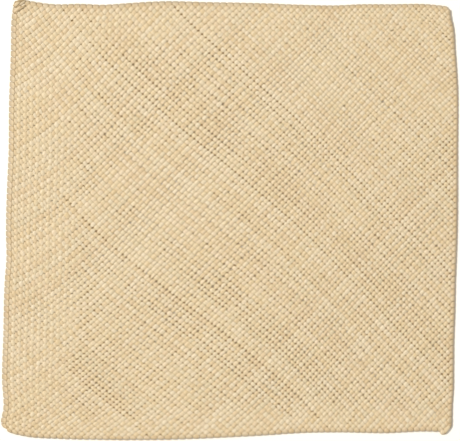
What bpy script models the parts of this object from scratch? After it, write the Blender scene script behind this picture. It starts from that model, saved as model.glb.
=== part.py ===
"""A pandanus mat, about 0.46 m wide and 0.44 m deep, plaited in one piece and lying flat.

Two layers of flat leaf strips cross on the bias. Each strip turns back at the
edge of the mat and goes on as a strip of the other layer, so the edge is a row
of small folds of the same cloth. The sides bow and the corners are rounded by
hand. Metres, +Z up, with the origin on the surface under the mat's middle.
"""

import bmesh
import bpy
import numpy as np

MM = 0.001

# Driving sizes, in millimetres. One fold is one strip turning back at the edge.
FOLDS_PER_SIDE = 69
STEPS_PER_FOLD = 2
SHEET_THICKNESS = 2.0
FOLD_PROUD = 0.35
FOLD_RAISED = 0.2
EDGE_ROUND = 1.5

# The face between the folds: a coarse grid, set in from the edge by this much.
FACE_STEPS = 23
FACE_INSET = 9.0

# Each corner: how far right and up of the middle it would be if it were sharp,
# how much it is drawn in, over what reach, and how far its tip lifts.
CORNERS = {
    # name: (right, up, drawn_in, reach, lift)
    "near_left": (-227.5, -211.0, 2.6, 6.0, 0.4),
    "near_right": (222.0, -212.5, 3.0, 5.0, 0.5),
    "far_left": (-215.0, 221.5, 1.2, 4.0, 1.0),
    "far_right": (221.5, 213.8, 1.9, 5.0, 0.7),
}
LIFT_REACH = 45.0
NEAR_WIDTH = CORNERS["near_right"][0] - CORNERS["near_left"][0]
LEFT_DEPTH = CORNERS["far_left"][1] - CORNERS["near_left"][1]

# How far each side bows out past the straight line between its two corners.
SIDE_BOWS = {
    # side: (share of the way along, millimetres out)
    "near": (
        (0.00, 0.0), (0.02, 1.5), (0.05, 5.0), (0.12, 7.8), (0.22, 8.7), (0.37, 8.4), (0.46, 7.2),
        (0.56, 4.8), (0.66, 1.6), (0.76, 0.6), (0.85, 0.8), (0.94, -0.8), (1.00, 0.0),
    ),
    "far": (
        (0.00, 0.0), (0.03, -1.2), (0.09, -4.6), (0.20, -4.6), (0.26, -2.0), (0.33, 0.0), (0.45, 0.0),
        (0.58, 0.6), (0.66, -0.9), (0.74, -0.9), (0.86, 1.4), (0.94, 2.4), (1.00, 0.0),
    ),
    "left": (
        (0.00, 0.0), (0.02, 1.0), (0.05, -0.4), (0.12, 1.2), (0.22, 2.0), (0.35, 1.8), (0.45, 1.4),
        (0.60, 2.0), (0.75, 3.2), (0.88, 2.8), (0.96, 2.2), (1.00, 0.0),
    ),
    "right": (
        (0.00, 0.0), (0.02, 1.4), (0.06, 1.2), (0.14, 2.6), (0.28, 4.2), (0.45, 5.6), (0.65, 6.8),
        (0.82, 7.6), (0.90, 5.4), (0.95, 3.6), (0.98, 1.0), (1.00, 0.0),
    ),
}

# The last strips are tucked in as a small knob on the near side, by the right corner.
KNOB_SHARE = 0.979
KNOB_HALF_WIDTH = 3.2
KNOB_PROUD = 2.2
KNOB_RAISED = 0.8

# The first strips are knotted together in the far left corner, which is thicker.
KNOT_REACH = 9.0
KNOT_RAISED = 0.7

# Long, low swells of the upper face, left by the plaiting.
SWELLS = (
    # (length to the right, length up, height, where it starts as a share of its length)
    (190.0, 260.0, 0.16, 0.10),
    (-120.0, 150.0, 0.12, 0.45),
    (75.0, 310.0, 0.08, 0.80),
)
MARGIN_RAISED = 0.25
MARGIN_WIDTH = 60.0

# Dried leaf: pale straw, matt with a faint sheen.
LEAF_COLOUR = (0.783, 0.631, 0.386, 1.0)
LEAF_ROUGHNESS = 0.62


def clear_scene():
    for obj in list(bpy.data.objects):
        bpy.data.objects.remove(obj, do_unlink=True)


def smooth_value(rows, share):
    """The value of a (share, value) table at any share, joined by smooth cubics."""
    at, value = np.array(rows, float).T
    slope = np.gradient(value, at)
    row = np.clip(np.searchsorted(at, share, side="right") - 1, 0, len(at) - 2)
    span = at[row + 1] - at[row]
    t = (share - at[row]) / span
    starts = value[row] * (1 + 2 * t) * (1 - t) ** 2 + slope[row] * span * t * (1 - t) ** 2
    ends = value[row + 1] * t**2 * (3 - 2 * t) - slope[row + 1] * span * t**2 * (1 - t)
    return starts + ends


def between_corners(column, across, up):
    """One column of the corner table, shared out by how near each corner is."""
    near = CORNERS["near_left"][column] * (1 - across) + CORNERS["near_right"][column] * across
    far = CORNERS["far_left"][column] * (1 - across) + CORNERS["far_right"][column] * across
    return near * (1 - up) + far * up


def corner_offsets(across, up):
    """For each corner, its table row and how far in from it each point is, in millimetres."""
    places = {"near_left": (0, 0), "near_right": (1, 0), "far_left": (0, 1), "far_right": (1, 1)}
    for name, (corner_across, corner_up) in places.items():
        inward = (1 - 2 * corner_across, 1 - 2 * corner_up)
        distance = np.hypot((across - corner_across) * NEAR_WIDTH, (up - corner_up) * LEFT_DEPTH)
        yield CORNERS[name], inward, distance


def place_on_mat(across, up):
    """Where a share of the way across and up the mat lies, in millimetres from its middle."""
    right = between_corners(0, across, up)
    right = right - smooth_value(SIDE_BOWS["left"], up) * (1 - across) ** 2
    right = right + smooth_value(SIDE_BOWS["right"], up) * across**2
    away = between_corners(1, across, up)
    away = away - smooth_value(SIDE_BOWS["near"], across) * (1 - up) ** 2
    away = away + smooth_value(SIDE_BOWS["far"], across) * up**2
    for (_, _, drawn_in, reach, _), inward, distance in corner_offsets(across, up):
        pull = drawn_in / np.sqrt(2) * np.exp(-((distance / reach) ** 2))
        right = right + inward[0] * pull
        away = away + inward[1] * pull
    return right, away


def knob_share(across, up):
    """How much of the knob each point has, from 0 to 1."""
    distance = np.hypot((across - KNOB_SHARE) * NEAR_WIDTH, up * LEFT_DEPTH)
    return np.exp(-((distance / KNOB_HALF_WIDTH) ** 2))


def underside(across, up):
    """Height of the underside, in millimetres: 0 all over but where the corners lift."""
    height = np.zeros_like(across)
    for (_, _, _, _, lift), _, distance in corner_offsets(across, up):
        height = height + lift * np.clip(1 - distance / LIFT_REACH, 0, 1) ** 2
    return height


def upper_face(across, up):
    """Height of the upper face, in millimetres, with its swells and its fuller margins."""
    right, away = place_on_mat(across, up)
    height = underside(across, up) + SHEET_THICKNESS
    for length_right, length_up, swell, start in SWELLS:
        turns = right / length_right + away / length_up + start
        height = height + swell * np.sin(2 * np.pi * turns)
    height = height + MARGIN_RAISED * np.exp(-((across * NEAR_WIDTH / MARGIN_WIDTH) ** 2))
    knot_distance = np.hypot(across, 1 - up) * NEAR_WIDTH
    height = height + KNOT_RAISED * np.exp(-((knot_distance / KNOT_REACH) ** 2))
    return height + KNOB_RAISED * knob_share(across, up)


def ring(inset, steps):
    """A loop of points round the mat, anticlockwise, that far in from its edge."""
    share = inset / NEAR_WIDTH
    run = share + (1 - 2 * share) * np.arange(steps) / steps
    low = np.full(steps, share)
    across = np.concatenate([run, 1 - low, 1 - run, low])
    up = np.concatenate([low, run, 1 - low, 1 - run])
    return across, up


def outward_of(points):
    """Unit vectors out of a closed anticlockwise loop, in its plane."""
    along = np.roll(points, -1, axis=0) - np.roll(points, 1, axis=0)
    out = np.stack([along[:, 1], -along[:, 0]], axis=1)
    return out / np.linalg.norm(out, axis=1, keepdims=True)


def fold_wave(steps):
    """1 on the crest of each fold and -1 between two folds, for every step of the loop."""
    return np.cos(2 * np.pi * np.arange(4 * steps) / STEPS_PER_FOLD)


def edge_loops():
    """The three loops of the rounded edge: upper shoulder, turn and lower shoulder."""
    steps = FOLDS_PER_SIDE * STEPS_PER_FOLD
    wave = fold_wave(steps)
    shoulder = ring(EDGE_ROUND, steps)
    turn = ring(0.0, steps)

    upper = np.stack([*place_on_mat(*shoulder), upper_face(*shoulder) + FOLD_RAISED * wave], axis=1)
    lower = np.stack([*place_on_mat(*shoulder), underside(*shoulder)], axis=1)

    flat_turn = np.stack(place_on_mat(*turn), axis=1)
    proud = FOLD_PROUD * wave + KNOB_PROUD * knob_share(*turn)
    flat_turn = flat_turn + outward_of(flat_turn) * proud[:, None]
    height = (upper_face(*turn) + underside(*turn)) / 2
    return upper, np.column_stack([flat_turn, height]), lower


def face_grid(height_of):
    """The coarse grid of one face, as rows from near to far."""
    share = FACE_INSET / NEAR_WIDTH
    run = share + (1 - 2 * share) * np.arange(FACE_STEPS + 1) / FACE_STEPS
    across, up = np.meshgrid(run, run)
    return np.stack([*place_on_mat(across, up), height_of(across, up)], axis=2)


def grid_rim(rows):
    """The outer points of a square grid, anticlockwise from its near left corner."""
    near = rows[0][:-1]
    right = [row[-1] for row in rows[:-1]]
    far = rows[-1][:0:-1]
    left = [row[0] for row in rows[:0:-1]]
    return [*near, *right, *far, *left]


def join_loops(mesh, outer, inner):
    """Fills between a loop and one with fewer points, each of which takes an equal share."""
    share = len(outer) // len(inner)
    for index, point in enumerate(inner):
        following = inner[(index + 1) % len(inner)]
        first = index * share
        middle = first + share // 2
        for step in range(first, first + share):
            tip = point if step < middle else following
            mesh.faces.new((outer[step], outer[(step + 1) % len(outer)], tip))
        mesh.faces.new((outer[middle], following, point))


def plaited_mat():
    """The mat as one closed sheet."""
    mesh = bmesh.new()
    upper, turn, lower = [[mesh.verts.new(point) for point in loop] for loop in edge_loops()]
    count = len(turn)
    for above, below in ((upper, turn), (turn, lower)):
        for index in range(count):
            following = (index + 1) % count
            mesh.faces.new((above[index], below[index], below[following], above[following]))

    for loop, height_of in ((upper, upper_face), (lower, underside)):
        rows = [[mesh.verts.new(point) for point in row] for row in face_grid(height_of)]
        join_loops(mesh, loop, grid_rim(rows))
        for near, far in zip(rows, rows[1:]):
            for index in range(FACE_STEPS):
                mesh.faces.new((near[index], near[index + 1], far[index + 1], far[index]))

    places = np.array([vert.co for vert in mesh.verts])
    middle = (places.min(axis=0) + places.max(axis=0)) / 2
    bmesh.ops.translate(mesh, verts=mesh.verts, vec=(-middle[0], -middle[1], 0.0))
    bmesh.ops.scale(mesh, verts=mesh.verts, vec=(MM, MM, MM))
    bmesh.ops.triangulate(mesh, faces=mesh.faces)
    bmesh.ops.recalc_face_normals(mesh, faces=mesh.faces)

    data = bpy.data.meshes.new("mat")
    mesh.to_mesh(data)
    mesh.free()
    data.shade_smooth()
    return data


def dried_leaf():
    """Matt, pale straw coloured leaf strip."""
    material = bpy.data.materials.new("dried_pandanus_leaf")
    material.use_nodes = True
    shader = material.node_tree.nodes["Principled BSDF"]
    shader.inputs["Base Color"].default_value = LEAF_COLOUR
    shader.inputs["Roughness"].default_value = LEAF_ROUGHNESS
    shader.inputs["Metallic"].default_value = 0.0
    return material


clear_scene()
mat = bpy.data.objects.new("mat", plaited_mat())
mat.data.materials.append(dried_leaf())
bpy.context.scene.collection.objects.link(mat)
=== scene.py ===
"""A pandanus mat, plaited strip by strip around the frame's plain sheet.

Two families of flat leaf strips cross on the bias, over one and under one.
One rises to the right, the other falls to the right, and at the mat's edge
each strip folds over and goes on as a strip of the other family. The ends are
tied in at the far left corner and tucked in by the near right one. Metres,
+Z up, X to the right and Y away along the mat's two sides.
"""

import bpy
import numpy as np
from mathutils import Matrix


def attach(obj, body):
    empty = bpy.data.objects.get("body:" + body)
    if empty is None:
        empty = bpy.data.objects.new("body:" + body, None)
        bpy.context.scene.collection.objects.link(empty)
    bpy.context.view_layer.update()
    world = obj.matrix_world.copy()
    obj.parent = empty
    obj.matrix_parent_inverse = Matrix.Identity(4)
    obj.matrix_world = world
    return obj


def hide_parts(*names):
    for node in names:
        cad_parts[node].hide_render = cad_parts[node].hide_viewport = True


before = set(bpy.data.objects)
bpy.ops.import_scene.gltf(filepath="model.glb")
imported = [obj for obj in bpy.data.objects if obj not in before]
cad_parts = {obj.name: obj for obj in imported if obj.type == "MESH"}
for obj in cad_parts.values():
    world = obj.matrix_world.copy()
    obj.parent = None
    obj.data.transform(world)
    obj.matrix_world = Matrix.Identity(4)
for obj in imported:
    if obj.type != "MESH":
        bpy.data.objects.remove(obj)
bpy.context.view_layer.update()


# The strips that rise to the right. Each is dried pandanus leaf, split about
# 4 mm wide and laid flat, woven over one falling strip and under the next, and
# folded over where it reaches the mat's edge. Three pieces, by where they lie.
MM = 0.001
FOLDS = 69  # along each side of the mat
random = np.random.default_rng(69)

# Each corner: how far right and up of the middle it would be if it were sharp,
# how much it is drawn in, over what reach, and how far its tip lifts, all in mm.
CORNERS = {
    # name: (right, up, drawn_in, reach, lift)
    "near_left": (-227.5, -211.0, 2.6, 6.0, 0.4),
    "near_right": (222.2, -212.7, 3.0, 4.5, 0.5),
    "far_left": (-215.0, 221.5, 1.2, 4.0, 1.0),
    "far_right": (221.4, 213.8, 1.0, 5.0, 0.7),
}
CORNER_SHARES = {
    # corner: (share across the mat, share up it)
    "near_left": (0, 0),
    "near_right": (1, 0),
    "far_left": (0, 1),
    "far_right": (1, 1),
}
LIFT_REACH = 45.0  # mm from a corner to where the mat lies flat again
NEAR_WIDTH = CORNERS["near_right"][0] - CORNERS["near_left"][0]
LEFT_DEPTH = CORNERS["far_left"][1] - CORNERS["near_left"][1]

# How far each side bows out past the straight line between its two corners.
SIDE_BOWS = {
    # side: (share of the way along, mm out)
    "near": (
        (0.00, 0.0), (0.02, 1.5), (0.05, 4.2), (0.12, 6.4), (0.22, 7.4), (0.37, 7.0), (0.46, 5.4),
        (0.52, 4.0), (0.58, 2.4), (0.66, 0.0), (0.76, -0.9), (0.85, -0.3), (0.94, -2.2), (1.00, -1.2),
    ),
    "far": (
        (0.00, 0.0), (0.03, -2.2), (0.06, -4.2), (0.09, -5.3), (0.15, -4.5), (0.20, -5.0), (0.26, -2.9),
        (0.33, -0.6), (0.45, -0.5), (0.58, -0.7), (0.66, -1.5), (0.74, -1.4), (0.79, 0.0), (0.86, 0.6),
        (0.94, 1.4), (1.00, -0.6),
    ),
    "left": (
        (0.00, 0.0), (0.02, 1.2), (0.05, -0.9), (0.12, 1.2), (0.22, 1.2), (0.35, 1.3), (0.40, 0.3),
        (0.46, 1.5), (0.57, 1.7), (0.64, 1.2), (0.75, 2.1), (0.88, 1.8), (0.96, 1.8), (1.00, -0.3),
    ),
    "right": (
        (0.00, -0.5), (0.02, -0.6), (0.06, -0.3), (0.10, 0.9), (0.14, 1.1), (0.22, 1.4), (0.28, 2.4),
        (0.35, 3.0), (0.45, 4.6), (0.65, 5.6), (0.82, 5.6), (0.90, 3.3), (0.95, 1.8), (0.98, -1.0),
        (1.00, -1.0),
    ),
}

# How wide the columns of crossings are, against their mean, from left to right.
COLUMN_WIDTHS = (
    # (share across, width against the mean)
    (0.00, 0.95), (0.02, 0.98), (0.12, 1.00), (0.25, 1.06), (0.45, 1.10), (0.56, 1.04), (0.66, 0.93),
    (0.85, 0.94), (1.00, 0.94),
)

# The rows of crossings sag as they leave the left edge and rise again to the
# right one, most at mid height.
ROW_SAG = (
    # (share across, mm below the straight row)
    (0.00, 0.0), (0.05, 8.0), (0.11, 14.5), (0.19, 18.0), (0.27, 16.5), (0.36, 11.5), (0.50, 4.0),
    (0.70, -3.0), (1.00, -8.0),
)

# The plaiting is drawn up tight along these stretches and patches of the mat. A
# reach of 9 goes past the whole mat, so that the patch is a margin along a side.
TIGHT_PATCHES = (
    # (share across, share up, reach across, reach up, how tight)
    (0.00, 0.50, 0.15, 9.00, 1.0),
    (0.50, 1.00, 9.00, 0.10, 0.6),
    (0.50, 0.00, 9.00, 0.06, 0.7),
    (0.82, 0.92, 0.26, 0.20, 0.5),
    (0.30, 0.50, 0.20, 0.16, 0.5),
)

# In these patches many of the small holes where four strips meet gape.
GAPING_PATCHES = (
    # (share across, share up, reach across, reach up, how gaping)
    (0.24, 0.78, 0.14, 0.13, 0.9),
    (0.46, 0.70, 0.12, 0.16, 0.9),
    (0.58, 0.50, 0.16, 0.22, 1.0),
    (0.82, 0.56, 0.14, 0.18, 0.9),
    (0.93, 0.30, 0.12, 0.34, 1.0),
    (0.50, 0.22, 0.22, 0.16, 1.0),
    (0.18, 0.16, 0.12, 0.10, 0.6),
)

# Here the rising strips are squeezed up into round lumps between the falling ones.
LUMPY_PATCHES = (
    # (share across, share up, reach across, reach up, how lumpy)
    (0.00, 0.38, 0.17, 0.50, 1.0),
    (0.00, 0.50, 0.04, 9.00, 0.7),
    (0.50, 1.00, 9.00, 0.10, 0.4),
    (0.50, 0.00, 9.00, 0.05, 0.4),
)

# A patch is whole up to this share of its reach, and then fades over the next.
PATCH_WHOLE = 0.6
PATCH_FADE = 0.8


def smooth_value(rows, share):
    """The value of a (share, value) table at any share, joined by smooth cubics."""
    at, value = np.array(rows, float).T
    slope = np.gradient(value, at)
    row = np.clip(np.searchsorted(at, share, side="right") - 1, 0, len(at) - 2)
    span = at[row + 1] - at[row]
    t = (share - at[row]) / span
    starts = value[row] * (1 + 2 * t) * (1 - t) ** 2 + slope[row] * span * t * (1 - t) ** 2
    ends = value[row + 1] * t**2 * (3 - 2 * t) - slope[row + 1] * span * t**2 * (1 - t)
    return starts + ends


def between_corners(column, across, up):
    """One column of the corner table, shared out by how near each corner is."""
    near = CORNERS["near_left"][column] * (1 - across) + CORNERS["near_right"][column] * across
    far = CORNERS["far_left"][column] * (1 - across) + CORNERS["far_right"][column] * across
    return near * (1 - up) + far * up


def corner_distance(name, across, up):
    """How far a place is from one of the corners, in mm."""
    corner_across, corner_up = CORNER_SHARES[name]
    return np.hypot((across - corner_across) * NEAR_WIDTH, (up - corner_up) * LEFT_DEPTH)


def place_on_mat(across, up):
    """Where a share of the way across and up the mat lies, in mm right and up."""
    right = between_corners(0, across, up)
    right = right - smooth_value(SIDE_BOWS["left"], up) * (1 - across) ** 2
    right = right + smooth_value(SIDE_BOWS["right"], up) * across**2
    away = between_corners(1, across, up)
    away = away - smooth_value(SIDE_BOWS["near"], across) * (1 - up) ** 2
    away = away + smooth_value(SIDE_BOWS["far"], across) * up**2
    for name, (_, _, drawn_in, reach, _) in CORNERS.items():
        corner_across, corner_up = CORNER_SHARES[name]
        pull = drawn_in / np.sqrt(2) * np.exp(-((corner_distance(name, across, up) / reach) ** 2))
        right = right + (1 - 2 * corner_across) * pull
        away = away + (1 - 2 * corner_up) * pull
    return right, away


# The weave counts its crossings: "column" runs from 0 at the left edge to FOLDS
# at the right one, and "row" from a half at the near edge to FOLDS and a half.
# A rising strip is numbered by column - row, a falling one by column + row.
# The columns' widths are added up here to where each of them lies.
column_edges = np.linspace(0, 1, 400)
column_growth = np.cumsum(smooth_value(COLUMN_WIDTHS, column_edges))
column_growth = (column_growth - column_growth[0]) / (column_growth[-1] - column_growth[0])

# How far the folds reach out past the outermost crossings, in mm.
OVERHANGS = {"left": 3.3, "right": 2.0, "near": 2.0, "far": 2.0}


def share_of(column, row):
    """The shares across and up the mat of a place in the weave."""
    share = column / FOLDS
    across = np.interp(share, column_edges, column_growth)
    across = across + np.minimum(share, 0) + np.maximum(share - 1, 0)
    across = across + (OVERHANGS["left"] * (1 - across) - OVERHANGS["right"] * across) / NEAR_WIDTH
    up = (row - 0.5) / FOLDS
    up = up + (OVERHANGS["near"] * (1 - up) - OVERHANGS["far"] * up) / LEFT_DEPTH
    sag = smooth_value(ROW_SAG, across) * (1 - np.clip(2 * up - 1, -1, 1) ** 2)
    return across, up - sag / LEFT_DEPTH


def soft_step(x):
    """Rises smoothly from 0 to 1 as x does."""
    x = np.clip(x, 0, 1)
    return x * x * (3 - 2 * x)


def patch_value(patches, across, up):
    """How much of the patches' quality a place has, from 0 outside them to 1."""
    value = np.zeros_like(across)
    for patch_across, patch_up, reach_across, reach_up, most in patches:
        distance = np.hypot((across - patch_across) / reach_across, (up - patch_up) / reach_up)
        value = np.maximum(value, most * (1 - soft_step((distance - PATCH_WHOLE) / PATCH_FADE)))
    return value


# How full a strip is in loose and tight places and in lumps: the swell of its
# middle in mm, its width against the spacing, and how much painted shade its edges get.
CROWNS = {"loose": 0.06, "tight": 0.10, "rising_lump": 0.42, "falling_lump": 0.08}
FILLS = {"loose": 0.98, "tight": 0.99, "rising_lump": 1.20, "falling_lump": 0.90}
TUCK_SHADES = {"loose": 0.13, "tight": 0.12, "rising_lump": 0.06, "falling_lump": 0.09}

# Sizes of a strip and of its path, in mm or as shares of its own.
LEAF_THICKNESS = 0.45
CRIMP = 0.29  # how far a strip's middle swings up and down
CRIMP_SPREAD = 0.15  # by what share of that it may differ
FOLD_CRIMP = 0.38  # how far it swings where it folds over at the mat's edge
ROLL = 0.06  # mm that a strip's edges tip up and down
FOLD_TURNS = (0, 60, 120, 180)  # degrees, the steps round a fold
FOLD_START = 0.98  # width of a fold where its turn starts and ends
FOLD_SIDE_SHADE = 0.16  # painted shade along a fold's sides, where it meets the next one
RIM_WIDTH = 4.0  # mm in from the outermost crossings that get painted shade along the rim
FOLD_OUTSIDE_SHADE_WIDTH = 2.0  # mm in from the outer side of the folds that get painted shade
HOLE_DRAW_IN = 0.03  # how far a strip's edge draws back from a gaping hole, by its half width
HOLE_SHADE = 1.0  # painted shade of a strip's edge beside a hole that gapes fully
UNDER_SHADE = 0.5  # painted shade of a strip's face where it is covered, against its edges
CREST_SHADE = 0.2  # painted shade of its edges at the top of a crossing, against between two
HOLE_SHOULDER = 0.32  # how much further in the flat of a strip ends beside a gaping hole
LUMP_LEAN = 0.13  # how far a lump's ends shift, so that it stands upright, by its width
LUMP_SHADE = 0.06  # painted shade on the falling strips where the rising ones stand over them
LOW_BETWEEN_LUMPS = 0.6  # crimp of a falling strip between lumps
FLAT_SHOULDER = 0.88  # where the flat of a strip ends, as a share of its half width
ROUND_SHOULDER = 0.55  # the same in a lump or a fold
CROWN_BESIDE = 0.6  # swell at the ends of an upper stretch, against its middle
BARREL = 0.98  # width at the ends of an upper stretch, against its middle
LUMP_BARREL = 0.84  # the same of a lump
STRIP_PITCH = 4.6  # mean spacing of the strips, for lengths along them

# Where the steps along a strip lie between two crossings, and how high the
# strip is there, against its crimp. A lump falls away sooner than a flat strip.
STEP_SHARES = np.array([0.12, 0.42, 0.58, 0.88])
LUMP_FALLS_SOONER = np.array([0, -0.07, 0.07, 0])
STEP_HEIGHTS = np.array([1.0, 0.8, 0.8, 1.0])
EVEN_BORDER = 3.0  # crossings in from the edge before strips differ in width

# Long, low swells of the whole mat, left by the plaiting.
SWELLS = (
    # (mm to the right, mm up, height in mm, where it starts as a share of its length)
    (190.0, 260.0, 0.16, 0.10),
    (-120.0, 150.0, 0.12, 0.45),
    (75.0, 310.0, 0.08, 0.80),
)
MARGIN_RAISED = 0.25  # the left margin is that much fuller
MARGIN_WIDTH = 60.0
KNOT_RAISED = 0.7  # the weave over the knot in the far left corner
KNOT_REACH = 9.0


def middle_height(across, up):
    """Height of the middle of the weave, in mm, over the surface that it lies on."""
    height = np.full_like(across, (1 + CRIMP_SPREAD) * CRIMP + LEAF_THICKNESS / 2 + CROWNS["tight"])
    for name, (_, _, _, _, lift) in CORNERS.items():
        distance = corner_distance(name, across, up)
        height = height + lift * np.clip(1 - distance / LIFT_REACH, 0, 1) ** 2
    for length_right, length_up, swell, start in SWELLS:
        turns = across * NEAR_WIDTH / length_right + up * LEFT_DEPTH / length_up + start
        height = height + swell * (1 + np.sin(2 * np.pi * turns)) / 2
    height = height + MARGIN_RAISED * np.exp(-((across * NEAR_WIDTH / MARGIN_WIDTH) ** 2))
    knot = corner_distance("far_left", across, up)
    return height + KNOT_RAISED * np.exp(-((knot / KNOT_REACH) ** 2))


# From the middle that the corners are measured from to the frame's origin, in mm.
SHIFT_RIGHT = -0.74
SHIFT_AWAY = -0.27


def weave_point(rising, falling, height):
    """Points in metres at these strip numbers, which need not be whole."""
    across, up = share_of((rising + falling) / 2, (falling - rising) / 2)
    right, away = place_on_mat(across, up)
    height = np.maximum(height + middle_height(across, up), 0)
    return np.stack([right + SHIFT_RIGHT, away + SHIFT_AWAY, height], axis=-1) * MM


# The mat's four edges: how the line of a fold leans across its strip, and which
# way is out of the mat, counted in strip numbers.
EDGES = {
    # edge: (lean, out in rising numbers, out in falling numbers)
    "left": (-1, -1, -1),
    "right": (-1, 1, 1),
    "near": (1, 1, -1),
    "far": (1, -1, 1),
}

# How the folds look along each edge. The left ones are beads with notches
# between them; the right ones are pressed flat into one smooth rim, darkened
# with painted shade. The edges come in the same order here, in OVERHANGS and
# where lay_strip looks for the nearest one.
FOLD_LOOKS = {
    # edge: (width at the turn by spacing, swell in mm, how much painted shade on the outer side)
    "left": (0.88, 0.20, 0.45),
    "right": (0.98, 0.05, 0.85),
    "near": (0.88, 0.15, 0.5),
    "far": (0.88, 0.15, 0.6),
}


def strip_run(family, number):
    """The first and last strips that this one crosses, and the edges there."""
    if family == "rising" and number < 0:
        return -number, "left", 2 * FOLDS + 1 + number, "far"
    if family == "rising":
        return number + 1, "near", 2 * FOLDS - number, "right"
    if number <= FOLDS:
        return -number, "left", number - 1, "near"
    return number - 2 * FOLDS - 1, "far", 2 * FOLDS - number, "right"


# How unlike each other the strips are. A strip wanders in two waves at once.
WIDTH_SPREAD = 0.1
NARROWEST = 0.78
WIDEST = 1.26
EVENED_OVER = 5  # strips, over which wide and narrow ones make up for each other
WANDERS = (
    # (share of the spacing, length in crossings)
    (0.05, 23.0),
    (0.03, 7.3),
)


def strip_habits(unevenness):
    """Widths against the mean and sideways shifts, for the strips of one family."""
    count = 2 * FOLDS
    widths = np.clip(random.normal(1.0, WIDTH_SPREAD, count), NARROWEST, WIDEST)
    drift = np.cumsum(widths) - widths / 2 - np.arange(count) * widths.mean()
    padded = np.pad(drift, EVENED_OVER // 2, mode="edge")
    shifts = drift - np.convolve(padded, np.ones(EVENED_OVER) / EVENED_OVER, mode="valid")
    shifts = shifts + random.normal(0, unevenness, count)
    waves = random.uniform(0, 1, (count, len(WANDERS)))
    return {"width": widths, "shift": shifts, "waves": waves}


FIRST_NUMBER = {"rising": -FOLDS, "falling": 1}
habits = {"rising": strip_habits(0.03), "falling": strip_habits(0.05)}

# How wide each hole between four strips gapes, from 0 to 1, by the rising and
# the falling strip before it. They gape in patches and in lines along a strip.
HOLE_CHANCES = {
    "everywhere": -0.43,
    "patch": 0.28,
    "rising_line": 0.20,
    "falling_line": 0.58,
    "alone": 0.33,
}
CLOSED_BY_LUMPS = 0.8  # how much smaller they are between lumps
LUMP_HOLE = 0.06  # the least hole to the left and right of a lump
LUMP_HOLE_SPREAD = (0.4, 1.4)
SMALL_HOLE = 0.55  # the least hole where the plaiting is loose
SMALL_HOLE_SPREAD = (0.3, 1.6)
before = np.arange(2 * FOLDS + 1) - 1
hole_rising = (before + FIRST_NUMBER["rising"] + 0.5)[:, None]
hole_falling = (before + FIRST_NUMBER["falling"] + 0.5)[None, :]
hole_place = share_of((hole_rising + hole_falling) / 2, (hole_falling - hole_rising) / 2)
hole_size = np.full(hole_place[0].shape, HOLE_CHANCES["everywhere"])
hole_size += HOLE_CHANCES["patch"] * patch_value(GAPING_PATCHES, *hole_place)
hole_size += HOLE_CHANCES["rising_line"] * random.normal(0, 1, (len(before), 1))
hole_size += HOLE_CHANCES["falling_line"] * random.normal(0, 1, (1, len(before)))
hole_size += HOLE_CHANCES["alone"] * random.normal(0, 1, hole_size.shape)
hole_size -= patch_value(TIGHT_PATCHES, *hole_place)
lumpy_there = patch_value(LUMPY_PATCHES, *hole_place)
holes = np.clip(0.5 + hole_size, 0, 1) * (1 - CLOSED_BY_LUMPS * lumpy_there)
corner_numbers = before[:, None] + before[None, :] + FIRST_NUMBER["rising"] + FIRST_NUMBER["falling"]
beside_lump = corner_numbers % 2 == 0
lump_hole = LUMP_HOLE * beside_lump * random.uniform(*LUMP_HOLE_SPREAD, holes.shape)
holes = np.maximum(holes, lump_hole * lumpy_there)
small_hole = SMALL_HOLE * random.uniform(*SMALL_HOLE_SPREAD, holes.shape)
holes = np.maximum(holes, small_hole * (1 - patch_value(TIGHT_PATCHES, *hole_place)))


def holes_beside(family, number, partners):
    """The sizes of the holes before and after a strip, past each one that it crosses."""
    own = number - FIRST_NUMBER[family]
    other = partners[:-1] - FIRST_NUMBER["falling" if family == "rising" else "rising"] + 1
    if family == "rising":
        return holes[own, other], holes[own + 1, other]
    return holes[other, own], holes[other, own + 1]


def by_patch(values, family, tight, lumpy):
    """A size that differs between loose, tight and lumpy places."""
    flat = values["loose"] + (values["tight"] - values["loose"]) * tight
    return flat + (values[family + "_lump"] - flat) * lumpy


def strip_facts(family, number, partner):
    """A strip's shifted number at each crossing, and how wide and full it is there."""
    rising, falling = (number, partner) if family == "rising" else (partner, number)
    column = (rising + falling) / 2
    row = (falling - rising) / 2
    inside = np.minimum.reduce([column, FOLDS - column, row - 0.5, FOLDS + 0.5 - row])
    free = soft_step(inside / EVEN_BORDER)
    habit = habits[family]
    index = np.asarray(number) - FIRST_NUMBER[family]
    start = habit["waves"][index]
    wander = 0
    for wave, (swing, length) in enumerate(WANDERS):
        wander = wander + swing * np.sin(2 * np.pi * (partner / length + start[..., wave]))
    place = share_of(column, row)
    tight, lumpy = patch_value(TIGHT_PATCHES, *place), patch_value(LUMPY_PATCHES, *place)
    width = by_patch(FILLS, family, tight, lumpy)
    width = width * (1 + free * (habit["width"][index] - 1))
    crimp = CRIMP * (1 - (1 - LOW_BETWEEN_LUMPS) * lumpy * (family == "falling"))
    return {
        "number": number + free * (habit["shift"][index] + wander),
        "width": width,
        "crown": by_patch(CROWNS, family, tight, lumpy),
        "crimp": np.where(inside <= 0, FOLD_CRIMP, crimp),
        "lumpy": lumpy,
        "tint": by_patch(TUCK_SHADES, family, tight, lumpy),
    }


# The points round a strip, the other way round: for a strip whose run and side
# are swapped, so that its faces look outwards too.
OTHER_WAY_ROUND = [0, 5, 4, 3, 2, 1]


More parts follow.
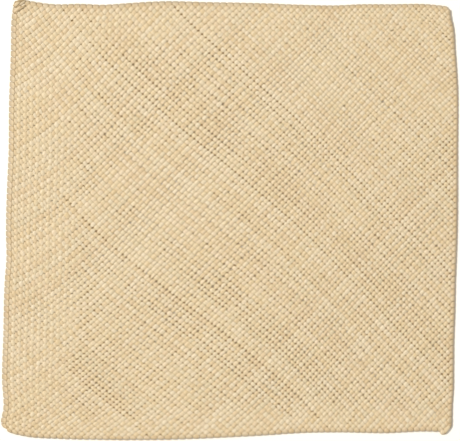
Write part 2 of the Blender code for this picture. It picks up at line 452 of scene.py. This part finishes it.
def lay_strip(family, number):
    """The points round one strip, step by step, in metres, with four facts about each.

    The facts are the mm along and across the leaf, how much painted shade it gets
    where it is tucked under a crossing strip or beside a hole, and how near it is to the mat's rim.
    """
    other = "falling" if family == "rising" else "rising"
    first, first_edge, last, last_edge = strip_run(family, number)
    partners = np.arange(first, last + 1)
    over = (partners + number) % 2 == (0 if family == "rising" else 1)
    facts = strip_facts(family, np.full(len(partners), number), partners)
    side, width = facts["number"], facts["width"]
    run = strip_facts(other, partners, np.full(len(partners), number))["number"]
    way = np.where(over, 1.0, -1.0)
    crimp = facts["crimp"] * way * random.uniform(1 - CRIMP_SPREAD, 1 + CRIMP_SPREAD, len(partners))
    crown = facts["crown"] * way
    shoulder = FLAT_SHOULDER + (ROUND_SHOULDER - FLAT_SHOULDER) * facts["lumpy"]
    roll = ROLL * random.normal(0, 1, len(partners))

    # Four steps between each two crossings, two of them nearer to either one.
    gap = np.repeat(np.arange(len(partners) - 1), len(STEP_SHARES))
    share = np.tile(STEP_SHARES, len(partners) - 1)
    nearest = gap + (share > 0.5)
    share = share + np.tile(LUMP_FALLS_SOONER, len(partners) - 1) * facts["lumpy"][nearest]
    beside = np.tile(STEP_HEIGHTS < 1, len(partners) - 1)
    both_sides = holes_beside(family, number, partners)
    hole_before, hole_after = (np.repeat(sizes, len(STEP_SHARES)) * beside for sizes in both_sides)
    level = np.tile(STEP_HEIGHTS, len(partners) - 1)
    lumpy = facts["lumpy"][nearest]
    barrel = BARREL + (LUMP_BARREL - BARREL) * lumpy
    lean_over = LUMP_LEAN * beside * np.where(share < 0.5, -1, 1) * over[nearest] * lumpy
    steps = {
        "run": run[gap] + share * (run[gap + 1] - run[gap]),
        "side": side[gap] + share * (side[gap + 1] - side[gap]) + lean_over,
        "width": width[nearest] * np.where(level == 1, 1.0, barrel),
        "height": crimp[nearest] * level,
        "crown": crown[nearest] * np.where(level == 1, 1.0, CROWN_BESIDE),
        "shoulder": shoulder[nearest],
        "tint": facts["tint"][nearest],
        "shade": LUMP_SHADE * lumpy * (family == "falling"),
        "hole_before": hole_before,
        "hole_after": hole_after,
        "roll": roll[nearest],
        "lean": np.zeros(len(gap)),
        "turn": np.zeros(len(gap)),
        "overhang": np.zeros(len(gap)),
        "out_side": np.zeros(len(gap)),
        "out_run": np.zeros(len(gap)),
        "level": level * way[nearest],
    }
    lean_reach = STEP_SHARES[2]
    for edge, end, at in ((first_edge, 0, slice(0, 2)), (last_edge, -1, slice(-2, None))):
        from_end = share[at] if end == 0 else 1 - share[at]
        steps["lean"][at] = EDGES[edge][0] * (1 - from_end / lean_reach)

    # The fold: round through half a turn where this strip is the upper one there.
    for edge, end in ((first_edge, 0), (last_edge, -1)):
        lean, out_rising, out_falling = EDGES[edge]
        fill, crown_there, _ = FOLD_LOOKS[edge]
        turns = np.radians(FOLD_TURNS) if over[end] else np.array([0.0])
        most_turned = np.sin(np.radians(FOLD_TURNS[1])) ** 2
        out_side, out_run = out_rising, out_falling
        if family == "falling":
            out_side, out_run = out_falling, out_rising
        fold = {
            "run": np.full(len(turns), run[end]),
            "side": np.full(len(turns), side[end]),
            "width": FOLD_START + (fill - FOLD_START) * np.sin(turns) ** 2 / most_turned,
            "height": crimp[end] * np.cos(turns),
            "crown": np.full(len(turns), crown_there * way[end]),
            "shoulder": np.full(len(turns), ROUND_SHOULDER),
            "tint": np.full(len(turns), FOLD_SIDE_SHADE),
            "shade": np.zeros(len(turns)),
            "hole_before": np.zeros(len(turns)),
            "hole_after": np.zeros(len(turns)),
            "roll": np.zeros(len(turns)),
            "lean": np.full(len(turns), float(lean)),
            "turn": turns,
            "overhang": np.full(len(turns), OVERHANGS[edge]),
            "out_side": np.full(len(turns), float(out_side)),
            "out_run": np.full(len(turns), float(out_run)),
            "level": np.full(len(turns), way[end]),
        }
        for name, value in fold.items():
            joined = (value[::-1], steps[name]) if end == 0 else (steps[name], value)
            steps[name] = np.concatenate(joined)

    # The section: two sharp edges, a flat with two shoulders above and one below.
    column = {name: value[:, None] for name, value in steps.items()}
    corner = np.array([-1, 0, 0, 1, 0, 0])
    flank = np.array([-1, -1, 1, 1, 1, -1])
    hole = np.where(flank < 0, column["hole_before"], column["hole_after"])
    flat = column["shoulder"] - HOLE_SHOULDER * hole
    at_edge = flank * np.where(corner != 0, 1 - HOLE_DRAW_IN * hole, flat)
    upper = np.array([0, 1, 1, 0, 0, 0])
    lower = np.array([0, 0, 0, 0, 1, 1])
    across = column["width"] / 2 * at_edge
    thick_up = LEAF_THICKNESS / 2 + np.maximum(column["crown"], 0)
    thick_down = LEAF_THICKNESS / 2 + np.maximum(-column["crown"], 0)
    off_middle = thick_up * upper - thick_down * lower
    # In its turn a fold stands out past the crossing, by its overhang and its crimp.
    turned = np.sin(column["turn"])
    proud = (np.abs(crimp).max() * (column["turn"] > 0) + off_middle) * turned
    proud = proud + column["overhang"] * (turned > 0.1)
    proud = proud / (STRIP_PITCH * np.sqrt(2))
    side_at = column["side"] + across + column["out_side"] * proud
    run_at = column["run"] + column["lean"] * across + column["out_run"] * proud
    height = column["height"] + off_middle * np.cos(column["turn"]) + column["roll"] * at_edge
    rising, falling = (side_at, run_at) if family == "rising" else (run_at, side_at)
    points = weave_point(rising, falling, height)

    # Painted shade: on the edges between two crossings, beside holes, on what lies under a crossing strip,
    # and on falling strips between lumps.
    shows = column["level"] * (upper - lower) > 0
    between = np.abs(column["level"]) < 1
    covered = column["level"] < 0
    shade_and_brown = np.where(shows, column["shade"], UNDER_SHADE * column["tint"])
    edge_tint = np.maximum(column["tint"], HOLE_SHADE * hole)
    edge_tint = edge_tint * np.where(between | covered, 1.0, CREST_SHADE)
    shade_and_brown = np.where(corner != 0, edge_tint, shade_and_brown)

    # How near it is to the rim: by the nearest edge, of the left, right, near and far ones.
    from_edges = np.stack([
        rising + falling,
        2 * FOLDS - rising - falling,
        falling - rising - 1,
        2 * FOLDS + 1 + rising - falling,
    ]) / 2
    nearest_edge = from_edges.argmin(axis=0)
    outer_shade_amount = np.array([look[2] for look in FOLD_LOOKS.values()])[nearest_edge]
    overhang = np.array(list(OVERHANGS.values()))[nearest_edge]
    from_edge = from_edges.min(axis=0) * STRIP_PITCH * np.sqrt(2)
    near_rim_shade = 1 - np.clip(from_edge / RIM_WIDTH, 0, 1)
    # The first half of the measure is painted shade along the rim, the second painted shade on the folds'
    # outer side.
    rim = 0.5 * near_rim_shade + 0.5 * outer_shade_amount * np.clip(1 - (from_edge + overhang) / FOLD_OUTSIDE_SHADE_WIDTH, 0, 1)

    along = (column["run"] - run[0]) * STRIP_PITCH + 0 * across
    about = np.stack([along, at_edge * HALF_LEAF, shade_and_brown, rim], axis=-1)
    if family == "falling":
        points, about = points[:, OTHER_WAY_ROUND], about[:, OTHER_WAY_ROUND]
    return points, about


RING = 6  # points round a strip
SHARP_FROM = 60  # degrees between two faces, for the cut edges
LEAF_APART = 17.0  # mm between two strips' places in the leaf's pattern
LEAF_STARTS = 900  # mm of that pattern, in which each strip starts somewhere


def strip_mesh(name, strips):
    """One mesh of several strips, each closed at both ends, with facts about each point."""
    points, quads, leaf, marks, steps_of = [], [], [], [], []
    base = 0
    for ring_points, about in strips:
        count = len(ring_points)
        steps_of.append(count - 1)
        tone = np.full((count, RING), random.uniform(0, 1))
        start = random.uniform(0, LEAF_STARTS)
        points.append(ring_points.reshape(-1, 3))
        along, across, shade_and_brown, rim = np.moveaxis(about, 2, 0)
        place = np.stack([along + start, across, np.full_like(along, len(leaf) * LEAF_APART)], axis=-1)
        leaf.append(place.reshape(-1, 3) * MM)
        marks.append(np.stack([tone, shade_and_brown, rim], axis=-1).reshape(-1, 3))

        step = np.arange(count - 1)[:, None]
        turn = np.arange(RING)[None, :]
        following = (turn + 1) % RING
        a = base + step * RING + turn
        b = base + step * RING + following
        sides = np.stack([a, b, b + RING, a + RING], axis=-1).reshape(-1, 4)
        ends = base + np.array([[3, 2, 1, 0], [5, 4, 3, 0]])
        far_ends = base + (count - 1) * RING + np.array([[0, 1, 2, 3], [0, 3, 4, 5]])
        quads.append(np.concatenate([sides, ends, far_ends]))
        base += count * RING
    points = np.concatenate(points)
    quads = np.concatenate(quads)
    data = bpy.data.meshes.new(name)
    data.vertices.add(len(points))
    data.vertices.foreach_set("co", points.astype(np.float32).ravel())
    data.loops.add(quads.size)
    data.loops.foreach_set("vertex_index", quads.astype(np.int32).ravel())
    data.polygons.add(len(quads))
    data.polygons.foreach_set("loop_start", np.arange(0, quads.size, 4, dtype=np.int32))
    data.update(calc_edges=True)
    data.shade_smooth()
    data.set_sharp_from_angle(angle=np.radians(SHARP_FROM))
    for fact, values in (("leaf", leaf), ("marks", marks)):
        attribute = data.attributes.new(fact, "FLOAT_VECTOR", "POINT")
        attribute.data.foreach_set("vector", np.concatenate(values).astype(np.float32).ravel())
    lay_out_flat(data, steps_of)
    return data


# How the faces round a strip share out the height of their cell in the flat layout.
CELL_SHARES = np.array([0.02, 0.10, 0.41, 0.49, 0.57, 0.90, 0.98])
CELLS_ACROSS = 8  # how many more cells a layout has across than up, as a cell is tall


def lay_out_flat(data, steps_of):
    """Lays all the faces out side by side in one square, one cell for each step of a strip."""
    cells = sum(steps_of) + 2 * len(steps_of)
    up = int(np.ceil(np.sqrt(cells / CELLS_ACROSS)))
    across = int(np.ceil(cells / up))
    layout, cell = [], 0
    low, high = CELL_SHARES[0], CELL_SHARES[-1]
    half = (low + high) / 2
    for steps in steps_of:
        at = cell + np.arange(steps)[:, None]
        left, right = at % across + 0 * CELL_SHARES[:-1], at % across + 1 + 0 * CELL_SHARES[:-1]
        bottom, top = at // across + CELL_SHARES[:-1], at // across + CELL_SHARES[1:]
        sides = [(left, bottom), (left, top), (right, top), (right, bottom)]
        layout.append(np.stack([np.stack(corner, axis=-1) for corner in sides], axis=2).reshape(-1, 2))
        for cap in (cell + steps, cell + steps + 1):
            x, y = cap % across, cap // across
            for y0, y1 in ((y + low, y + half), (y + half, y + high)):
                layout.append(np.array([(x, y0), (x + 1, y0), (x + 1, y1), (x, y1)]))
        cell += steps + 2
    layer = data.uv_layers.new(name="OFBake")
    layout = np.concatenate(layout) / (across, up)
    layer.uv.foreach_set("vector", layout.astype(np.float32).ravel())


def linear(colour):
    """A linear RGBA colour from an sRGB hex one."""
    channels = np.array([int(colour[at:at + 2], 16) for at in (1, 3, 5)]) / 255
    channels = np.where(channels <= 0.04045, channels / 12.92, ((channels + 0.055) / 1.055) ** 2.4)
    return (*channels.tolist(), 1.0)


def add_node(tree, kind, settings, links):
    """Adds a node, sets its options and unlinked sockets, and links the rest."""
    node = tree.nodes.new(kind)
    for name, value in settings.items():
        if isinstance(name, int) or name in node.inputs:
            node.inputs[name].default_value = value
        else:
            setattr(node, name, value)
    for name, source in links.items():
        tree.links.new(source, node.inputs[name])
    return node


# The leaf's colours: its tones from strip to strip, then what marks them. Leaf
# dried in the sun is pale straw, here pinkish and there greenish.
LEAF_TONES = (
    # (share of the strips, colour)
    (0.00, "#D1BF9B"),
    (0.18, "#DAC8A9"),
    (0.40, "#D7C29B"),
    (0.62, "#DAC5A5"),
    (0.80, "#D6BE95"),
    (1.00, "#D2B994"),
)
FIBRE_DARK = "#B99E6E"
FIBRE_PALE = "#E3D6B8"
BLOTCH = "#BDA270"
# The cut edges dry browner, and this colour is deepened with painted shade in the grooves between strips.
CUT_EDGE_AND_SHADE = "#8E6C28"
TUCK_SHADE_AND_BROWN = "#725000"  # painted shade where a strip goes under the next and in the holes between strips; the tied ends take it as their own brown too
RIM_SHADE = "#AF8E5F"  # painted shade along the strips at the mat's rim
FOLD_OUTSIDE_SHADE = "#8C7F6C"  # and painted shade on the outer side of the folds
HALF_LEAF = 2.1  # mm, half the width of a strip as the material counts it


def dried_pandanus():
    """Pandanus leaf, boiled, dried in the sun and scraped soft with a blade.

    To the eye it is matt, with fine fibres along the strip that catch the light a
    little, and with streaks and blotches that the drying leaves.
    """
    material = bpy.data.materials.new("sun_dried_pandanus_leaf")
    material.use_nodes = True
    tree = material.node_tree
    tree.nodes.clear()
    leaf = add_node(tree, "ShaderNodeAttribute", {"attribute_name": "leaf"}, {}).outputs["Vector"]
    marks = add_node(tree, "ShaderNodeAttribute", {"attribute_name": "marks"}, {}).outputs["Vector"]
    tone, shade_and_brown, rim = add_node(tree, "ShaderNodeSeparateXYZ", {}, {"Vector": marks}).outputs

    def leaf_noise(length, width, detail, roughness=0.5):
        """Noise whose grains have this length and width on the leaf, in mm."""
        scaled = add_node(
            tree,
            "ShaderNodeVectorMath",
            {"operation": "MULTIPLY", 1: (1000 / length, 1000 / width, 1000 / LEAF_APART)},
            {0: leaf},
        )
        return add_node(
            tree,
            "ShaderNodeTexNoise",
            {"Scale": 1.0, "Detail": detail, "Roughness": roughness},
            {"Vector": scaled.outputs["Vector"]},
        ).outputs["Fac"]

    # Fibres are 0.1 to 0.2 mm wide. They are drawn 0.45 mm wide, so that they show.
    fibres = leaf_noise(22.0, 0.45, 3.0, 0.6)
    ageing = leaf_noise(45.0, 30.0, 1.0)
    blotches = leaf_noise(7.0, 3.5, 2.0)
    streaks = leaf_noise(16.0, 1.3, 2.0)

    # Each strip has its own tone, which drifts as the leaf ages along its length.
    drift = add_node(
        tree, "ShaderNodeMath", {"operation": "MULTIPLY_ADD", 1: 0.7, 2: -0.35}, {0: ageing}
    ).outputs["Value"]
    shade = add_node(tree, "ShaderNodeMath", {"operation": "ADD", "use_clamp": True}, {0: tone, 1: drift})
    strip_colour = add_node(tree, "ShaderNodeValToRGB", {}, {"Fac": shade.outputs["Value"]})
    ramp = strip_colour.color_ramp
    for at, colour in LEAF_TONES[1:-1]:
        ramp.elements.new(at)
    for element, (at, colour) in zip(ramp.elements, LEAF_TONES):
        element.position = at
        element.color = linear(colour)

    def tinted(colour, tint, amount, share):
        """A colour turned towards a tint, by an amount that a share between two limits scales."""
        low, high = share[1:]
        factor = add_node(
            tree,
            "ShaderNodeMapRange",
            {"From Min": low, "From Max": high, "To Max": amount},
            {"Value": share[0]},
        )
        return add_node(
            tree,
            "ShaderNodeMix",
            {"data_type": "RGBA", 7: linear(tint)},
            {0: factor.outputs["Result"], 6: colour},
        ).outputs[2]

    colour = strip_colour.outputs["Color"]
    colour = tinted(colour, FIBRE_DARK, 0.45, (fibres, 0.42, 0.72))
    colour = tinted(colour, FIBRE_PALE, 0.45, (fibres, 0.5, 0.25))
    colour = tinted(colour, BLOTCH, 0.35, (blotches, 0.55, 0.8))
    colour = tinted(colour, BLOTCH, 0.4, (streaks, 0.52, 0.75))
    colour = tinted(colour, FIBRE_PALE, 0.4, (streaks, 0.48, 0.25))

    # The cut edges dry browner than the flat of the strip, deepened with painted shade in the grooves, and
    # the tucked places and holes get painted shade.
    across = add_node(tree, "ShaderNodeSeparateXYZ", {}, {"Vector": leaf}).outputs["Y"]
    from_middle = add_node(tree, "ShaderNodeMath", {"operation": "ABSOLUTE"}, {0: across}).outputs["Value"]
    half = HALF_LEAF * MM
    colour = tinted(colour, CUT_EDGE_AND_SHADE, 0.6, (from_middle, 0.82 * half, half))
    colour = tinted(colour, TUCK_SHADE_AND_BROWN, 0.3, (shade_and_brown, 0.0, 0.3))
    colour = tinted(colour, TUCK_SHADE_AND_BROWN, 0.95, (shade_and_brown, 0.16, 0.52))
    # Painted shade along the mat's rim and on the outer side of the folds.
    colour = tinted(colour, RIM_SHADE, 0.25, (rim, 0.0, 0.5))
    colour = tinted(colour, FOLD_OUTSIDE_SHADE, 0.9, (rim, 0.5, 0.95))

    # The pale fibres are rubbed smoother than the dark ones between them.
    roughness = add_node(
        tree, "ShaderNodeMapRange", {"To Min": 0.5, "To Max": 0.72}, {"Value": fibres}
    ).outputs["Result"]
    ribs = add_node(
        tree, "ShaderNodeBump", {"Strength": 0.5, "Distance": 0.06 * MM}, {"Height": fibres}
    )
    creases = add_node(
        tree,
        "ShaderNodeBump",
        {"Strength": 0.5, "Distance": 0.3 * MM},
        {"Height": blotches, "Normal": ribs.outputs["Normal"]},
    )
    shader = add_node(
        tree,
        "ShaderNodeBsdfPrincipled",
        {"IOR": 1.45, "Sheen Weight": 0.1, "Sheen Roughness": 0.4},
        {"Base Color": colour, "Roughness": roughness, "Normal": creases.outputs["Normal"]},
    )
    add_node(tree, "ShaderNodeOutputMaterial", {}, {"Surface": shader.outputs["BSDF"]})
    return material


pandanus = dried_pandanus()


# The knot in the far left corner. The last strip ends are tied in there: short,
# browned lengths of the same leaf, crossed over the corner, with both their ends
# pushed down between the strips below.
TIED_ENDS = (
    # (from right, from up, to right, to up: mm from the corner, mm wide, how brown)
    (-1.2, -14.0, 6.4, -7.6, 3.0, 0.02),
    (2.4, -12.4, 10.6, -6.6, 2.2, 0.22),
    (-0.6, -8.2, 5.6, -1.6, 3.4, 0.12),
    (4.4, -6.6, 10.8, -2.2, 2.8, 0.18),
    (0.4, -3.6, 9.4, -1.8, 2.0, 0.28),
)
END_RISE = 0.95  # mm over the middle of the weave, at the top of a tied end's arch
END_SUNK = 0.1  # the same where it goes down between the strips
END_STEPS = 12
END_CROWN = 0.25  # mm that the middle of a loose end swells
END_SUNK_SHADE = 0.4  # painted shade of its two ends, where they go down between the strips
END_EDGE_SHADE = 0.1  # painted shade on its cut edges


def lay_end(path, side, brown):
    """The points and facts round a loose length of strip.

    The path's rows are points of its middle and its width, in mm from the mat's
    origin. The side is a direction across it.
    """
    middle, width = path[:, :3], path[:, 3]
    ahead = np.gradient(middle, axis=0)
    ahead = ahead / np.linalg.norm(ahead, axis=1, keepdims=True)
    over = np.cross(side, ahead)
    over = over / np.linalg.norm(over, axis=1, keepdims=True)
    at_edge = np.array([-1, -ROUND_SHOULDER, ROUND_SHOULDER, 1, ROUND_SHOULDER, -ROUND_SHOULDER])
    off_middle = np.array([0, 1, 1, 0, -1, -1]) * LEAF_THICKNESS / 2
    off_middle = off_middle + np.array([0, 1, 1, 0, 0, 0]) * END_CROWN
    across = width[:, None] / 2 * at_edge
    points = middle[:, None] + across[..., None] * side + off_middle[:, None] * over[:, None]
    points[..., 2] = np.maximum(points[..., 2], 0)
    along = np.cumsum(np.linalg.norm(np.diff(middle, axis=0, prepend=middle[:1]), axis=1))
    share = np.linspace(0, 1, len(path))[:, None]
    # The two ends where they go down get painted shade on top of the end's own brown, and its cut edges a
    # little more.
    buried = np.abs(2 * share - 1) ** 4
    shade_and_brown = brown + (END_SUNK_SHADE - brown) * buried + END_EDGE_SHADE * (np.abs(at_edge) == 1)
    along = along[:, None] + 0 * at_edge
    about = np.stack([along, at_edge * HALF_LEAF + 0 * share, shade_and_brown, 0 * shade_and_brown], axis=-1)
    return points * MM, about


def corner_path(corner, rows):
    """A path that is given from a corner and over the weave's middle, from the mat's origin."""
    corner_right, corner_up = CORNERS[corner][:2]
    corner_across, corner_away = CORNER_SHARES[corner]
    rows = np.array(rows, float)
    weave = middle_height(corner_across + rows[:, 0] / NEAR_WIDTH, corner_away + rows[:, 1] / LEFT_DEPTH)
    rows[:, 0] += corner_right + SHIFT_RIGHT
    rows[:, 1] += corner_up + SHIFT_AWAY
    rows[:, 2] = np.maximum(rows[:, 2] + weave, LEAF_THICKNESS / 2)
    return rows


def tied_end(corner, from_right, from_up, to_right, to_up, width, brown):
    """One tied end: an arch over the corner, down into the weave at both ends."""
    share = np.linspace(0, 1, END_STEPS)
    arch = END_SUNK + (END_RISE - END_SUNK) * np.sqrt(np.sin(np.pi * share))
    right = from_right + (to_right - from_right) * share
    up = from_up + (to_up - from_up) * share
    rows = np.stack([right, up, arch, np.full(END_STEPS, width)], axis=-1)
    way = np.array([to_right - from_right, to_up - from_up])
    way = way / np.hypot(*way)
    return lay_end(corner_path(corner, rows), np.array([way[1], -way[0], 0.0]), brown)


# The knob on the near side, by the right corner. The last strip end of that side
# is doubled over the edge and tucked back in under the mat, which leaves a small
# rounded loop. The end before it is laid round the corner and tucked in beside it.
KNOB_PATH = (
    # (mm right and up from the corner, mm over the middle of the weave, mm wide)
    (-9.6, 3.8, 0.0, 2.6),
    (-9.6, 3.0, 0.4, 3.8),
    (-9.6, 2.0, 0.6, 4.6),
    (-9.6, 0.8, 0.6, 5.0),
    (-9.6, -0.1, 0.5, 4.8),
    (-9.6, -0.8, 0.2, 4.2),
    (-9.6, -1.1, -0.3, 3.6),
    (-9.6, -0.9, -0.8, 3.4),
    (-9.6, 0.8, -1.1, 3.6),
    (-9.6, 2.8, -1.1, 3.8),
)
ROUND_THE_CORNER = (-2.2, 7.8, -8.2, 0.2, 3.6, 0.05)  # columns as in TIED_ENDS
TO_THE_LEFT = np.array([-1.0, 0.0, 0.0])


def third(family, part):
    """The numbers of the strips in one third of a family, by how much they cross."""
    first = FIRST_NUMBER[family]
    numbers = np.arange(first, first + 2 * FOLDS)
    runs = np.array([abs(strip_run(family, n)[2] - strip_run(family, n)[0]) + 1 for n in numbers])
    part_of = np.minimum(3 * np.cumsum(runs) // (runs.sum() + 1), 2)
    return numbers[part_of == part]


def add_strips(name, family, part, ends=()):
    """One third of a family of strips, with any loose ends of theirs, as a piece of the mat."""
    strips = [lay_strip(family, number) for number in third(family, part)]
    piece = bpy.data.objects.new(name, strip_mesh(name, [*strips, *ends]))
    piece.data.materials.append(pandanus)
    bpy.context.scene.collection.objects.link(piece)
    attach(piece, "root")
    co = np.empty(len(piece.data.vertices) * 3, np.float32)
    piece.data.vertices.foreach_get("co", co)
    co = co.reshape(-1, 3)
    return piece


knot = [tied_end("far_left", *row) for row in TIED_ENDS]
knob = [
    lay_end(corner_path("near_right", KNOB_PATH), TO_THE_LEFT, 0.0),
    tied_end("near_right", *ROUND_THE_CORNER),
]
add_strips("rising_strips_far_left", "rising", 0, ends=knot)
middle = add_strips("rising_strips_middle", "rising", 1)
add_strips("rising_strips_near_right", "rising", 2, ends=knob)
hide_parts("mat")


# The strips that fall to the right. The same leaf strips after their fold at
# the edge, woven across the rising ones. Three pieces, by where they lie.
add_strips("falling_strips_near_left", "falling", 0)
add_strips("falling_strips_middle", "falling", 1)
add_strips("falling_strips_far_right", "falling", 2)


# The table that the mat lies on: a plain board with a smooth, nearly white
# laminate pressed onto it, which gives no more than a dull gloss.
FLOOR_HALF = 3.0  # metres from the middle to each side
FLOOR_WHITE = "#FBF4E6"
FLOOR_ROUGHNESS = 0.7
floor_mesh = bpy.data.meshes.new("table")
floor_corners = [(x * FLOOR_HALF, y * FLOOR_HALF, 0) for x, y in ((-1, -1), (1, -1), (1, 1), (-1, 1))]
floor_mesh.from_pydata(floor_corners, [], [(0, 1, 2, 3)])
floor = bpy.data.objects.new("table", floor_mesh)
bpy.context.scene.collection.objects.link(floor)
laminate = bpy.data.materials.new("white_laminate")
laminate.use_nodes = True
board = laminate.node_tree.nodes["Principled BSDF"]
board.inputs["Base Color"].default_value = linear(FLOOR_WHITE)
board.inputs["Roughness"].default_value = FLOOR_ROUGHNESS
floor_mesh.materials.append(laminate)


# The light: one large soft lamp to the left and a little to the far side, and an
# even pale room. The lamp is so far off that the mat's far ends are lit alike.
KEY_AZIMUTH = np.radians(152)
KEY_ELEVATION = np.radians(45)
KEY_DISTANCE = 10.0
KEY_SIZE = 2.9
KEY_WATTS = 1000
ROOM_STRENGTH = 0.57
key = bpy.data.lights.new("key", "AREA")
key.shape = "DISK"
key.size = KEY_SIZE
key.energy = KEY_WATTS
lamp = bpy.data.objects.new("key", key)
beside = KEY_DISTANCE * np.cos(KEY_ELEVATION)
above = KEY_DISTANCE * np.sin(KEY_ELEVATION)
lamp.location = (beside * np.cos(KEY_AZIMUTH), beside * np.sin(KEY_AZIMUTH), above)
lamp.rotation_euler = (np.pi / 2 - KEY_ELEVATION, 0, KEY_AZIMUTH + np.pi / 2)
bpy.context.scene.collection.objects.link(lamp)
world = bpy.data.worlds.new("room")
world.use_nodes = True
world.node_tree.nodes["Background"].inputs["Color"].default_value = linear("#FFFFFF")
world.node_tree.nodes["Background"].inputs["Strength"].default_value = ROOM_STRENGTH
bpy.context.scene.world = world


# The camera stands straight over the mat, far off, so that its sides stay true.
FRAME_WIDTH = 0.460
CAMERA_HEIGHT = 2.5
CAMERA_RIGHT = -0.0007
CAMERA_UP = -0.0005
SENSOR_WIDTH = 36.0
camera_data = bpy.data.cameras.new("camera")
camera_data.sensor_width = SENSOR_WIDTH
camera_data.lens = SENSOR_WIDTH * CAMERA_HEIGHT / FRAME_WIDTH
camera = bpy.data.objects.new("camera", camera_data)
camera.location = (CAMERA_RIGHT, CAMERA_UP, CAMERA_HEIGHT)
bpy.context.scene.collection.objects.link(camera)
bpy.context.scene.camera = camera
bpy.context.scene.view_settings.view_transform = "Standard"
